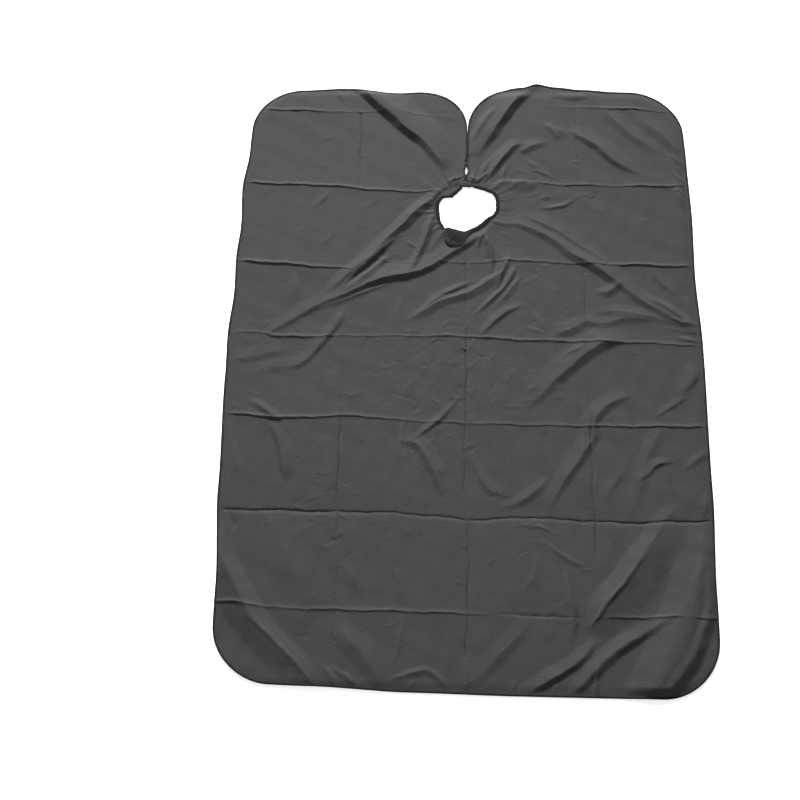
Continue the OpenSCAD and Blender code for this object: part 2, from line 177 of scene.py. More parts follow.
FOLDS_MM = [
    # left corner of the slit
    (((-255, 705, 10), (-190, 643, 12.5), (-145, 595, 11), (-100, 553, 8), (-65, 505, 5),
      (-45, 472, 0)), 70, 17),
    (((-305, 700, 2), (-298, 680, 2), (-288, 660, 0)), 10, 8),
    # right corner of the slit
    (((28, 510, 0), (45, 552, 5), (70, 592, 8), (100, 647, 9), (135, 690, 8), (165, 720, 6)), 50, 16),
    (((40, 445, 1), (68, 480, 5), (90, 515, 6), (110, 540, 4), (135, 551, 0)), 25, 11),
    (((12, 550, 0), (28, 585, 2.5), (55, 630, 2), (70, 650, 0)), 12, 10),
    (((30, 455, 1), (45, 485, 2.5), (60, 510, 0)), 10, 7),
    # over the lapped ends of the neckband
    (((-30, 447, 0), (-18, 452, 2), (-6, 461, 0)), 6, 5),
    (((8, 459, 0), (19, 451, 2.2), (33, 448, 0)), 7, 5),
    (((-45, 437, 0), (-30, 446, 2), (-20, 460, 0)), 7, 5),
    (((26, 444, 1), (40, 458, 2.5), (52, 468, 0)), 8, 5),
    # right shoulder
    (((120, 530, 0), (135, 532, 3), (155, 545, 3.5), (190, 555, 0)), 20, 13),
    (((178, 602, 0), (195, 595, 2.5), (208, 577, 2.5), (215, 558, 0)), 15, 8),
    (((205, 600, 0), (220, 585, 2), (235, 565, 0)), 12, 8),
    (((235, 588, 0), (260, 572, 3.5), (300, 545, 5), (330, 512, 5), (365, 487, 3),
      (400, 467, 0)), 35, 11),
    (((315, 655, 0), (345, 620, 3), (375, 585, 3.5), (410, 555, 2.5), (440, 525, 0)), 25, 18),
    (((390, 630, 0), (440, 590, 3), (475, 550, 3), (505, 525, 2)), 30, 18),
    (((190, 700, 1), (220, 692, 3), (260, 690, 4), (290, 695, 3), (320, 685, 0)), 10, 18),
    (((130, 510, 0), (160, 490, 1.5), (190, 475, 0)), 10, 10),
    (((150, 478, 0), (175, 470, 2), (205, 452, 0)), 10, 6),
    (((75, 440, 2), (100, 443, 3), (140, 441, 3), (165, 437, 0)), 10, 26),
    (((160, 400, 0), (185, 405, 1.5), (205, 400, 0)), 8, 8),
    (((165, 375, 0), (195, 378, 2), (225, 385, 2), (245, 400, 0)), 10, 7),
    (((470, 430, 0), (485, 400, 3), (503, 365, 1)), 15, 10),
    (((95, 490, 0), (86, 465, 2), (86, 440, 0)), 6, 6),
    # long ridge that runs right and down from the neck
    (((75, 335, 1), (130, 327, 3), (165, 311, 4), (200, 287, 4.5), (235, 257, 5.5), (270, 236, 6.5),
      (310, 207, 6), (335, 187, 4), (360, 161, 3.5), (400, 131, 4), (440, 106, 3.5),
      (490, 73, 2)), 34, 15),
    (((120, 358, 0), (170, 337, 2.5), (220, 305, 2.5), (270, 268, 2.5), (310, 235, 0)), 26, 9),
    (((390, 155, 0), (430, 130, 2.5), (475, 95, 2)), 14, 7),
    (((280, 163, 0), (310, 165, 3), (330, 178, 3), (345, 192, 0)), 15, 14),
    (((270, 110, 0), (330, 115, 2), (400, 105, 2), (460, 85, 1)), 18, 14),
    (((405, 215, 0), (435, 180, 2), (465, 150, 0)), 22, 8),
    # long ridges that run left and down from the neck
    (((-430, 48, 0), (-390, 72, 2.5), (-350, 100, 3), (-300, 130, 3.5), (-260, 150, 4.5),
      (-220, 170, 5.5), (-170, 190, 6.5), (-130, 200, 6.5), (-90, 213, 5.5), (-55, 233, 5),
      (-20, 262, 4.5), (20, 292, 3.5), (40, 305, 1)), 34, 12),
    (((-310, 148, 0), (-270, 185, 4), (-220, 235, 6), (-190, 267, 6), (-165, 300, 5.5),
      (-135, 333, 6.5), (-100, 372, 6), (-70, 398, 4), (-45, 415, 1)), 22, 16),
    (((-285, 145, 0), (-245, 195, 2), (-205, 240, 2.5), (-170, 275, 1.5), (-140, 300, 0)), 9, 7),
    (((-330, 105, 0), (-280, 128, 1.6), (-210, 158, 2), (-150, 180, 0)), 6, 7),
    (((-270, 155, 0), (-225, 190, 3.5), (-195, 220, 3.5), (-165, 250, 0)), 10, 12),
    (((-125, 207, 0), (-107, 240, 4), (-93, 280, 5), (-82, 320, 5), (-70, 348, 2)), 14, 11),
    (((-130, 285, 0), (-120, 275, 1.5), (-100, 265, 0)), 6, 6),
    (((-370, -32, 0), (-335, -8, 3), (-300, 37, 3.5), (-277, 75, 3.5), (-260, 105, 1)), 22, 9),
    (((-500, -15, 1), (-430, 0, 1.5), (-360, 15, 0)), 25, 14),
    (((-470, -50, 0), (-400, -30, 1.2), (-330, -20, 0)), 25, 14),
    (((-390, 210, 0), (-372, 165, 2), (-370, 115, 0)), 14, 18),
    (((-350, 365, 0), (-325, 390, 1.5), (-305, 415, 0)), 14, 6),
    (((-330, 265, 0), (-310, 285, 1), (-290, 310, 0)), 12, 6),
    (((-240, 360, 0), (-215, 380, 0.8), (-190, 390, 0)), 12, 8),
    # under the neck
    (((-100, 110, 0), (-55, 147, 3), (-20, 167, 3), (20, 187, 0)), 12, 8),
    (((-130, 83, 0), (-80, 116, 3.5), (-50, 136, 4), (10, 157, 4), (60, 191, 3.5), (85, 210, 0)), 12, 16),
    (((68, 160, 0), (77, 190, 3.5), (85, 220, 3.5), (100, 248, 1)), 16, 8),
    (((18, 98, 0), (55, 140, 3), (85, 170, 3.5), (101, 200, 3.5), (110, 230, 0)), 9, 8),
    (((60, 120, 0), (100, 165, 2.2), (127, 210, 0)), 10, 10),
    (((30, 50, 0), (60, 82, 3), (90, 110, 3), (127, 130, 0)), 16, 9),
    (((57, 205, 0), (58, 250, 3.5), (52, 285, 4), (47, 312, 2)), 10, 9),
    (((25, 265, 0), (31, 285, 2.5), (42, 310, 2)), 7, 7),
    (((190, 55, 0), (225, 71, 3.5), (260, 90, 2), (300, 85, 2), (350, 100, 2.5), (400, 95, 0)), 22, 15),
    (((125, 135, 0), (155, 95, 1.2), (183, 57, 0)), 8, 8),
    (((130, 77, 0), (150, 68, 1.2), (175, 58, 0)), 7, 6),
    (((205, 5, 0), (235, 22, 1.2), (258, 33, 0)), 10, 5),
    (((-150, 90, 0), (-142, 120, 1), (-134, 150, 0)), 5, 5),
    (((-14, 36, 0), (4, 20, 1.6), (22, 42, 0)), 8, 4),
    # middle
    (((120, -125, 0), (170, -72, 3), (200, -40, 4.5), (235, -6, 5.5), (270, 21, 5.5), (300, 41, 5),
      (350, 52, 0)), 42, 18),
    (((445, -90, 0), (480, -45, 3), (505, -12, 2)), 32, 11),
    (((390, -135, 0), (430, -105, 2), (475, -75, 0)), 12, 6),
    (((-455, -106, 0), (-425, -120, 3), (-402, -137, 3.5), (-375, -150, 0)), 14, 10),
    (((-405, -155, 0), (-385, -195, 3.5), (-370, -250, 3.5), (-362, -285, 0)), 26, 9),
    (((-480, -190, 0), (-465, -240, 2), (-452, -310, 0)), 14, 22),
    (((-140, -190, 0), (-100, -198, 3), (-75, -233, 4), (-55, -270, 3.5), (-43, -310, 0)), 26, 13),
    (((-105, -187, 0), (-70, -160, 3), (-45, -135, 2.5), (-5, -90, 0)), 13, 8),
    (((165, -340, 0), (195, -288, 2.5), (217, -253, 3.5), (240, -218, 4), (266, -180, 4),
      (268, -140, 4), (300, -105, 4), (350, -78, 0)), 28, 13),
    (((70, -335, 0), (110, -320, 1.8), (145, -293, 2.5), (178, -262, 0)), 16, 12),
    (((13, -215, 0), (30, -262, 1.8), (52, -293, 2.2), (95, -310, 0)), 20, 10),
    (((345, -273, 0), (375, -254, 2), (395, -232, 3), (432, -226, 0)), 15, 7),
    (((280, -320, 0), (300, -280, 1.5), (330, -240, 0)), 20, 12),
    (((340, -340, 0), (355, -280, 1.5), (385, -190, 2), (420, -150, 0)), 20, 16),
    (((475, -340, 0), (490, -310, 2.5), (503, -290, 2)), 18, 12),
    (((445, -245, 0), (475, -220, 2), (503, -205, 2)), 12, 10),
    # lower left
    (((-497, -370, 0), (-485, -420, 6), (-463, -475, 8), (-432, -527, 8.5), (-404, -566, 8),
      (-368, -606, 6.5), (-325, -645, 5), (-280, -695, 2)), 30, 45),
    (((-400, -350, 0), (-355, -430, 2.5), (-315, -500, 2.5), (-280, -570, 0)), 50, 50),
    (((-430, -550, 0), (-385, -588, 1.5), (-340, -628, 1.5), (-280, -690, 1)), 5, 5),
    (((-475, -350, 0), (-462, -375, -2), (-466, -395, 0)), 8, 10),
    (((-250, -445, 0), (-220, -485, 2), (-180, -525, 0)), 26, 22),
    (((-258, -555, 0), (-220, -600, 3), (-180, -645, 3), (-150, -695, 0)), 32, 26),
    (((-148, -425, 0), (-131, -480, 1.2), (-125, -525, 0)), 6, 6),
    (((-113, -548, 0), (-123, -605, 1.2), (-136, -665, 0)), 6, 6),
    (((-130, -80, 0), (-122, -140, 0.9), (-132, -200, 0.9), (-140, -270, 0)), 6, 6),
    # lower right
    (((238, -575, 0), (255, -550, 4), (272, -523, 6.5), (300, -492, 7.5), (340, -440, 7),
      (370, -400, 6), (400, -355, 4), (430, -315, 0)), 30, 62),
    (((485, -440, 0), (472, -530, 4), (446, -600, 5), (405, -660, 4), (370, -700, 2)), 20, 14),
    (((245, -568, 0), (260, -545, 2), (300, -497, 2.5), (340, -447, 1.5), (370, -410, 0)), 6, 5),
    (((205, -705, 2), (235, -667, 4.5), (262, -640, 5.5), (310, -600, 5.5), (350, -575, 4),
      (405, -543, 0)), 22, 13),
    (((115, -700, 2), (160, -672, 4.5), (200, -647, 4.5), (235, -620, 3.5), (257, -592, 0)), 22, 10),
    (((213, -600, 0), (213, -550, 4.5), (209, -510, 4.5), (201, -455, 0)), 20, 9),
    (((478, -360, 0), (462, -450, 8), (436, -540, 12), (402, -620, 13), (352, -700, 9)), 50, 60),
    (((100, -365, 0), (150, -370, 1.2), (185, -386, 0)), 6, 6),
    (((150, -397, 0), (200, -430, 1.4), (245, -457, 0)), 8, 8),
    (((15, -690, 0), (50, -648, 2.2), (90, -603, 2), (135, -557, 0)), 26, 15),
    (((148, -420, 0), (140, -470, 1.5), (110, -505, 0)), 14, 12),
    # along the front hem
    (((-270, -652, 0), (-253, -668, 2), (-250, -697, 1.5)), 8, 7),
    (((-255, -652, 0), (-222, -674, 1.8), (-197, -695, 1)), 8, 7),
    (((-172, -665, 0), (-169, -697, 2)), 7, 6),
    (((-145, -678, 0), (-100, -665, 2), (-70, -657, 2), (-45, -670, 2), (-28, -690, 0)), 8, 10),
    (((-108, -698, 1.5), (-88, -676, 0)), 7, 6),
    (((6, -620, 0), (6, -670, 1.5), (9, -700, 3)), 6, 5),
    (((252, -635, 0), (252, -660, 2), (250, -700, 2)), 6, 5),
]

# Creases from packing, in mm: points (x, y, height), ridges above 0 and valleys below
CREASES_MM = [
    ((-470, 640, 1.2), (-380, 637, 1.4), (-270, 633, 0.6), (-190, 636, 0.8), (-30, 618, 0.3)),
    ((200, 655, 0.5), (300, 652, 1.0), (380, 650, 1.6), (440, 645, 0.8), (490, 640, 0.3)),
    ((-505, 435, 1.8), (-400, 431, 1.7), (-300, 428, 1.8), (-220, 419, 1.6), (-120, 414, 1.2),
     (-60, 418, 0.6)),
    ((120, 446, 0.8), (200, 439, 1.0), (270, 438, 1.3), (340, 436, 0.7), (400, 437, 1.6),
     (470, 437, 1.5), (505, 440, 0.6)),
    ((-508, 229, 2.4), (-420, 224, 2.4), (-330, 217, 1.8), (-250, 212, 1.0)),
    ((-50, 232, 0.6), (40, 232, 0.8), (100, 240, 1.2), (160, 236, 1.2), (240, 233, 1.0),
     (300, 231, 1.0), (370, 232, 2.2), (430, 230, 2.0), (505, 229, 1.2)),
    ((-508, 50, 0.8), (-430, 52, 1.0), (-410, 44, 2.0), (-340, 44, 1.8), (-270, 47, 0.8),
     (-100, 49, 0.9), (0, 50, 1.2), (100, 44, 1.6), (200, 42, 1.5), (340, 42, 1.5), (430, 40, 1.2),
     (508, 36, 1.2)),
    ((-500, -138, 1.2), (-430, -141, 2.0), (-390, -146, 2.2), (-300, -141, 1.5), (-220, -138, 1.4),
     (-130, -146, 0.9), (0, -150, 0.8), (120, -152, 1.0), (260, -152, 1.2), (400, -150, 1.6),
     (505, -148, 1.5)),
    ((-495, -348, -1.2), (-400, -346, -1.6), (-280, -347, -1.8), (-160, -346, -1.2), (-60, -352, -1.2),
     (30, -358, -1.4), (120, -351, -1.2), (220, -355, -1.2), (340, -358, -1.4), (420, -354, -1.6),
     (500, -350, -1.4)),
    ((-488, -535, 1.8), (-440, -535, 1.8), (-370, -544, 1.0), (-250, -545, 1.3), (-120, -545, 1.2),
     (0, -547, 1.0), (120, -548, -1.2), (200, -551, -0.8), (300, -549, 1.0), (400, -545, 1.5),
     (490, -546, 1.2)),
    ((-244, 630, -1.5), (-243, 550, -1.5), (-241, 470, -1.2), (-240, 390, -0.4)),
    ((-256, 20, -0.4), (-256, -80, -0.8), (-257, -160, -1.8), (-256, -250, -2.4), (-254, -340, -2.1),
     (-251, -420, -1.5), (-247, -500, -2.2), (-249, -580, -1.5), (-247, -660, -0.9)),
    ((3, 235, -1.4), (3, 170, -1.2), (3, 90, -0.8), (4, 15, -2.2), (4, -60, -2.0), (3, -140, -1.7),
     (2, -220, -1.2), (2, -280, -2.1), (6, -350, -1.8), (11, -400, -3.2), (10, -500, -3.2),
     (9, -560, -1.4), (6, -630, -1.5)),
    ((257, 660, -0.8), (257, 580, -1.0), (259, 500, -0.9), (260, 440, -0.3)),
    ((262, 210, -1.2), (263, 130, -1.4), (262, 60, -0.9), (262, -20, -0.6), (262, -100, -0.8),
     (262, -170, -2.8), (262, -230, -1.4), (261, -300, -1.8), (263, -370, -2.7), (264, -430, -0.9)),
]


def in_metres(points):
    """The points with their places in metres. Their heights stay in mm."""
    return [(x / 1000, y / 1000, height) for x, y, height in points]


FOLDS = [(in_metres(points), left, right) for points, left, right in FOLDS_MM]
CREASES = [in_metres(points) for points in CREASES_MM]
CREASE_DARK, CREASE_LIGHT = 2.6, 6  # width in mm of a crease's side away from the lamp, and towards it
CREASE_ALONG = 2.6                  # and of both sides where it runs towards the lamp
TENT_WIDTH, TENT_SHARE = 40, 0.4    # width of the slope beside a crease, and its height next to the line's


def ripples():
    """Short folds side by side where the cloth bunches at its right edge, and a few along the front hem."""
    r = rng(19)
    out = []
    for y in np.linspace(0.525, 0.435, 6) + r.normal(0, 0.005, 6):
        start, high = r.uniform(0.455, 0.485), r.uniform(1.0, 2.8)
        out.append((((start, y + 0.012, 0), (0.49, y - 0.012, high), (0.507, y - 0.034, high)), 8, 5))
    for y in np.linspace(0.095, 0.055, 3):
        start, high = r.uniform(0.41, 0.45), r.uniform(1.0, 2.2)
        out.append((((start, y + 0.006, 0), (0.47, y - 0.004, high), (0.507, y - 0.010, high)), 8, 6))
    for x in (-0.335, -0.31, 0.09, 0.34, -0.20, 0.17):
        out.append((((x, -0.70, 1.4), (x + 0.006, -0.685, 1.2), (x + 0.012, -0.67, 0)), 6, 5))
    return out


CRUMPLES = 640
BY_CREASES = 0.35           # share of them that lie along the creases
CREASE_SCATTER = 0.009      # and how far from the crease they stray
CRUMPLE_TURNS = (0.75, -0.75, 0.2)     # in radians, the three ways that they mostly run
CRUMPLE_HALF = (0.006, 0.026)          # least and greatest half length
CRUMPLE_HEIGHT = (0.15, 0.80)          # in mm, and most rise rather than sink
CRUMPLE_SIDES = (3.5, 9), (2, 4.5)     # in mm, least and greatest width of the left side and of the right
# Where the crumples crowd: (x, y, spread, share of them)
CRUMPLED_PLACES = ((-0.05, -0.02, 0.17, 0.10), (-0.45, 0.05, 0.12, 0.05), (-0.16, 0.02, 0.16, 0.05),
                   (0.10, -0.05, 0.16, 0.05), (-0.30, -0.34, 0.16, 0.06), (0.02, -0.15, 0.16, 0.05),
                   (0.18, 0.44, 0.10, 0.06), (-0.12, 0.24, 0.10, 0.05), (0.10, 0.20, 0.14, 0.06))


def crumples():
    """Faint short sharp folds all over the cloth, and more of them in some places."""
    r = rng(7)
    out = []
    for _ in range(CRUMPLES):
        pick = r.uniform()
        x, y = r.uniform(-0.49, 0.49), r.uniform(-0.69, 0.69)
        if r.uniform() < BY_CREASES:
            row = CREASES[r.integers(len(CREASES))]
            i, t = r.integers(len(row) - 1), r.uniform()
            a, b = row[i], row[i + 1]
            x, y = (a[k] + t * (b[k] - a[k]) + r.normal(0, CREASE_SCATTER) for k in (0, 1))
        for cx, cy, spread, share in CRUMPLED_PLACES:
            if 0 <= pick < share:
                x, y = r.normal(cx, spread * 0.5), r.normal(cy, spread * 0.35)
            pick -= share
        a = r.choice(CRUMPLE_TURNS) + r.normal(0, 0.45)
        half = r.uniform(*CRUMPLE_HALF)
        bend = r.normal(0, 0.22) * half
        along = np.array([math.cos(a), math.sin(a)])
        side = np.array([-along[1], along[0]])
        middle = np.array([x, y]) + side * bend
        h = r.uniform(*CRUMPLE_HEIGHT) * r.choice([1, 1, -1])
        first, last = ((*(np.array([x, y]) + along * end), 0) for end in (-half, half))
        left, right = (r.uniform(*widths) for widths in CRUMPLE_SIDES)
        out.append(((first, (*middle, h), last), left, right))
    return out


# ---- relief ----------------------------------------------------------------

CREST_ROUND = 0.45 * MM    # radius that rounds a fold's crest
CREST_STEP = 6 * MM        # spacing of the points along it
FACET_POWER = 1.06         # 1 makes a fold's sides flat, and more makes them hollow
LEAST_SIDE = 0.35          # width of a fold's side where the crest runs out, as a share of its widest
LOFT = 2.7 * MM            # how high the cloth lies off the floor on the whole
EDGE_Z, EDGE_ZONE = 0.4 * MM, 22 * MM      # it comes down towards this height, over this width, at its edge
EDGE_EASE = 0.75                           # and this share of the way there
GATHERS, GATHER_SHIFT = 46, 0.045          # gathers round the neckband, and how unevenly they are set
GATHER_REACH, GATHER_SPREAD = 0.16, 0.05   # they end this far from it, and are twice as wide this far out
OVERLAP, OVERLAP_REACH = 1.6 * MM, 0.012   # the slit's right edge lies this much higher, this far sideways
BAND_CAP, CAP_SLOPE = 2.6 * MM, 0.45       # greatest height beside the neckband, and its slope outward
CAP_SOFT, FLOOR_SOFT = MM, 0.6 * MM        # how softly heights are held under that, and over the floor
TOP_Z, TOP_MORE, TOP_SOFT = 12 * MM, 1.5 * MM, 3 * MM    # what is above TOP_Z is flattened


def side_share(height, peak=None):
    """How wide a fold's side is where its crest has that height, as a share of its widest."""
    height = np.abs(height)
    return LEAST_SIDE + (1 - LEAST_SIDE) * np.sqrt(height / (peak or height.max()))


def add_fold(z, xy, points, left, right):
    """Adds one fold to heights z at places xy. Each side falls off over its own width, in mm."""
    curve = spline(points, CREST_STEP)
    widest = max(left, right) * MM
    low = curve[:, :2].min(0) - widest
    high = curve[:, :2].max(0) + widest
    near = np.flatnonzero(((xy >= low) & (xy <= high)).all(1))
    if not len(near):
        return
    best = np.full(len(near), 1e9)
    signed = np.zeros(len(near))
    height = np.zeros(len(near))
    p = xy[near]
    for a, b in zip(curve, curve[1:]):
        d = (b - a)[:2]
        length2 = d @ d
        rel = p - a[:2]
        t = np.clip(rel @ d / length2, 0, 1)
        off = rel - t[:, None] * d
        dist = np.hypot(off[:, 0], off[:, 1])
        closer = dist < best
        best = np.where(closer, dist, best)
        side = np.sign(d[0] * rel[:, 1] - d[1] * rel[:, 0])
        signed = np.where(closer, side, signed)
        height = np.where(closer, a[2] + t * (b[2] - a[2]), height)
    width = np.where(signed > 0, left, right) * MM * side_share(height, np.abs(curve[:, 2]).max())
    d = np.sqrt(best**2 + CREST_ROUND**2) - CREST_ROUND
    u = np.clip(1 - d / width, 0, 1)
    z[near] += height * MM * u**FACET_POWER


def pucker_list():
    """Gathers that run out from the neckband: angle, and height, width and length in mm."""
    r = rng(3)
    angles = np.linspace(0, 2 * math.pi, GATHERS, endpoint=False) + r.normal(0, GATHER_SHIFT, GATHERS)
    return [(a, r.uniform(0.5, 2.0), r.uniform(2.0, 4.2), r.choice([8, 12, 20, 36])) for a in angles]


def add_puckers(z, xy):
    """Adds the gathers to heights z. Under the neckband they ease away."""
    radius, angle = neck_polar(xy)
    near = np.flatnonzero(radius < BAND_OUT_R + GATHER_REACH)
    r, a = radius[near], angle[near]
    out = np.maximum(r - BAND_OUT_R, 0)
    total = np.zeros(len(near))
    for at, height, width, length in pucker_list():
        turn = (a - at + math.pi) % (2 * math.pi) - math.pi
        across = turn * r / (width * MM * (1 + out / GATHER_SPREAD))
        total += height * MM * np.exp(-across**2 - out / (length * MM))
    z[near] += total * smooth((r - NECK_R) / BAND_W)


def wobble(xy):
    """A small shift of every fold and crease, so that none runs dead straight."""
    x, y = xy[:, 0], xy[:, 1]
    dx = 1.3 * np.sin(61 * y + 23 * x + 1.1) + 0.5 * np.sin(171 * y - 83 * x + 0.4)
    dy = 1.0 * np.sin(57 * x - 31 * y + 2.3) + 0.5 * np.sin(163 * x + 97 * y + 3.9)
    return MM * np.stack([dx, dy], axis=1)


def swell(xy):
    """Faint unevenness a hand's breadth across."""
    x, y = xy[:, 0], xy[:, 1]
    return 0.22 * MM * (np.sin(59 * x + 31 * y) * np.sin(43 * y - 17 * x + 1)
                        + np.sin(-37 * x + 71 * y + 2) * np.sin(83 * x + 13 * y)
                        + 0.6 * np.sin(97 * x + 61 * y + 5) * np.sin(89 * y - 41 * x))


def waves(xy):
    """Slow rise and fall of the whole sheet."""
    x, y = xy[:, 0], xy[:, 1]
    return LOFT + 0.45 * MM * (np.sin(9.1 * x + 5.3 * y + 0.6)
                               + 0.7 * np.sin(-7.7 * x + 11.9 * y + 2.1)
                               + 0.5 * np.sin(17.3 * x + 4.1 * y + 4.0)
                               + 0.5 * np.sin(-13.3 * x - 15.7 * y + 1.2))


def edge_distance(xy):
    """How far each place is from the cape's outer edge, near enough for easing heights down to it."""
    x, y = np.abs(xy[:, 0]), np.abs(xy[:, 1])
    corner = np.hypot(np.maximum(x - HALF_W + CORNER_R, 0), np.maximum(y - HALF_L + CORNER_R, 0))
    return np.minimum(np.minimum(HALF_W - x, HALF_L - y), CORNER_R - corner)


def soft_positive(z, softness):
    """z where it is above 0 and 0 where it is below, with a rounded corner between."""
    return 0.5 * (z + np.sqrt(z**2 + softness**2))


def relief(xy):
    """Height of the cloth above the floor at each place."""
    z = waves(xy) + swell(xy)
    place, xy = xy, xy + wobble(xy)
    for points, left, right in FOLDS + ripples() + crumples():
        add_fold(z, xy, points, left, right)
    for points in CREASES:
        level = abs(points[0][0] - points[-1][0]) > abs(points[0][1] - points[-1][1])
        left, right = CREASE_ALONG, CREASE_ALONG
        if level:
            left = CREASE_LIGHT if points[1][2] > 0 else CREASE_DARK
            right = CREASE_LIGHT if points[1][2] < 0 else CREASE_DARK
        add_fold(z, xy, points, left, right)
        tent = [(x, y, height * TENT_SHARE) for x, y, height in points]
        add_fold(z, xy, tent, TENT_WIDTH, TENT_WIDTH)
    add_puckers(z, xy)
    x, y = place[:, 0], place[:, 1]
    over = OVERLAP * np.exp(-np.abs(x) / OVERLAP_REACH) * smooth((SHUT_TO - y) / SHUT_EASE)
    z += np.where((x > 0) & (y > LAP_Y + BAND_W), over, 0)
    z -= (z - EDGE_Z) * EDGE_EASE * (1 - smooth(edge_distance(place) / EDGE_ZONE))
    # the cloth comes up to the neckband, and not over it
    cap = BAND_CAP + CAP_SLOPE * np.maximum(neck_polar(place)[0] - BAND_OUT_R + TUCK, 0)
    z = soft_positive(cap - soft_positive(cap - z, CAP_SOFT), FLOOR_SOFT)
    return CLOTH_Z + np.where(z > TOP_Z, TOP_Z + TOP_MORE * np.tanh((z - TOP_Z) / TOP_SOFT), z)


# ---- plan ------------------------------------------------------------------

# How far the laid edges wander from the cut, as (place along the edge, shift in mm)
LEFT_EDGE = ((-0.7, -18), (-0.5, -14), (-0.3, 0), (-0.05, 8), (0.05, 11), (0.15, 6), (0.24, 9), (0.32, 5),
             (0.42, 10), (0.52, 1), (0.7, -2))
RIGHT_EDGE = ((-0.7, -12), (-0.5, -8), (-0.3, 1), (0.05, 7), (0.2, 3), (0.36, 7), (0.5, 5), (0.7, 0))
TOP_EDGE = ((-0.5, -4), (-0.4, -4), (-0.28, 3), (-0.18, -11), (-0.1, -5), (0.0, 0), (0.08, 3), (0.13, 10),
            (0.167, 21), (0.21, 13), (0.27, 6), (0.36, 0), (0.5, -5))
BOTTOM_EDGE = ((-0.5, 12), (-0.3, 8), (-0.1, 1), (0.1, -1), (0.5, 0))


def wander(table, at):
    """The table's shift at each place, eased between its entries."""
    places, shifts = np.array(table, float).T
    i = np.clip(np.searchsorted(places, at) - 1, 0, len(places) - 2)
    t = smooth((at - places[i]) / (places[i + 1] - places[i]))
    return (shifts[i] + t * (shifts[i + 1] - shifts[i])) * MM


# How far the opening's edge lies from a circle, as (angle in degrees, shift in mm)
OPENING = ((0, 8), (10, 9), (26, 14), (35, 13), (43, 8), (58, 2), (72, 0), (93, 0), (100, -7), (107, -11),
           (116, -15), (134, -18), (142, -11), (150, -3), (165, 0), (187, -2), (200, 0), (210, 3), (222, 5),
           (228, 8), (233, 0), (250, -3), (268, -2), (276, -5), (285, -8), (308, -10), (328, -9), (337, -6),
           (348, 3), (360, 8))
PULL_REACH = 20 * MM       # how far into the cloth the opening's shape reaches


def neck_polar(xy):
    """Each place's distance and angle from the neck's centre."""
    d = xy - NECK
    return np.hypot(d[:, 0], d[:, 1]), np.arctan2(d[:, 1], d[:, 0])


def neck_pull(xy):
    """How the drawn-in neckband pulls each place towards or from the neck's centre."""
    r, a = neck_polar(xy)
    angles, shifts = np.array(OPENING, float).T
    shift = np.interp(np.degrees(a) % 360, angles, shifts) * MM
    shift *= np.exp(-np.maximum(r - BAND_OUT_R, 0) / PULL_REACH)
    return (xy - NECK) / np.maximum(r, MM)[:, None] * shift[:, None]


EYE_Y, EYE_REACH = 0.472, 9 * MM       # the slit gapes at this place, so far up and down
SHUT_TO, SHUT_EASE = 0.595, 0.05       # it is shut up to here, and opens over this length
SHUT_START = 0.012                     # and it comes together over this length above the neckband
SLIT_SIDE = 0.02                       # how far to the side these reach
EYE_SHIFT, EYE_BOW = 2.0, 4.4          # in mm, how far right the gape lies, and each edge's way out
SHUT_BOW = 1.5                         # in mm, each edge's way in where the slit is shut
LEAN, LEAN_SIDE = 4 * MM, 0.15         # the slit lies this far right, and the cloth beside it less and less
LEAN_FROM, LEAN_OVER = 0.46, 0.08      # from this place on, over this length
TOP_ZONE, BOTTOM_ZONE = 0.55, 0.5      # beyond these the wander of the two end edges shows


def laid(xy):
    """Where each place of the cut cloth lies on the floor."""
    xy = xy + neck_pull(xy)
    x, y = xy[:, 0], xy[:, 1]
    dx = -wander(LEFT_EDGE, y) * smooth(-x / HALF_W) + wander(RIGHT_EDGE, y) * smooth(x / HALF_W)
    dy = (wander(TOP_EDGE, x) * smooth((y - TOP_ZONE) / (HALF_L - TOP_ZONE))
          + wander(BOTTOM_EDGE, x) * smooth((-y - BOTTOM_ZONE) / (HALF_L - BOTTOM_ZONE)))
    # the slit's edges bow apart just above the neckband, and lean to the right
    beside = np.exp(-np.abs(x) / SLIT_SIDE)
    eye = np.exp(-((y - EYE_Y) / EYE_REACH)**2) * beside
    shut = smooth((y - LAP_Y - BAND_W) / SHUT_START) * smooth((SHUT_TO - y) / SHUT_EASE) * beside
    dx = dx + (EYE_SHIFT + np.sign(x) * EYE_BOW) * MM * eye - np.sign(x) * SHUT_BOW * MM * shut
    dx = dx + LEAN * smooth((y - LEAN_FROM) / LEAN_OVER) * np.exp(-np.abs(x) / LEAN_SIDE)
    return np.stack([x + dx, y + dy], axis=1)


def placed(xy):
    """Points in space for places on the cut cloth."""
    flat = laid(xy)
    return np.column_stack([flat, relief(flat)])


# ---- meshes ----------------------------------------------------------------

def make_mesh(name, points, faces, materials, normals=None, indices=None):
    """A smooth-shaded piece. indices says which of the materials each face has."""
    mesh = bpy.data.meshes.new(name)
    mesh.from_pydata(points.tolist(), [], faces if isinstance(faces, list) else faces.tolist())
    for material in materials:
        mesh.materials.append(material)
    mesh.polygons.foreach_set("use_smooth", np.ones(len(mesh.polygons), bool))
    if indices is not None:
        mesh.polygons.foreach_set("material_index", np.array(indices, np.int32))
    mesh.update()
    if normals is not None:
        mesh.normals_split_custom_set_from_vertices(normals.tolist())
    piece = bpy.data.objects.new(name, mesh)
    bpy.context.collection.objects.link(piece)
    return piece


def tube_faces(rings, size, caps=True):
    """Faces of a tube of that many rings of size points, with or without caps at its ends."""
    faces = []
    for a in range(0, (rings - 1) * size, size):
        for j in range(size):
            k = (j + 1) % size
            faces.append((a + j, a + size + j, a + size + k, a + k))
    if caps:
        faces.append(tuple(range(size)))
        faces.append(tuple(reversed(range((rings - 1) * size, rings * size))))
    return faces


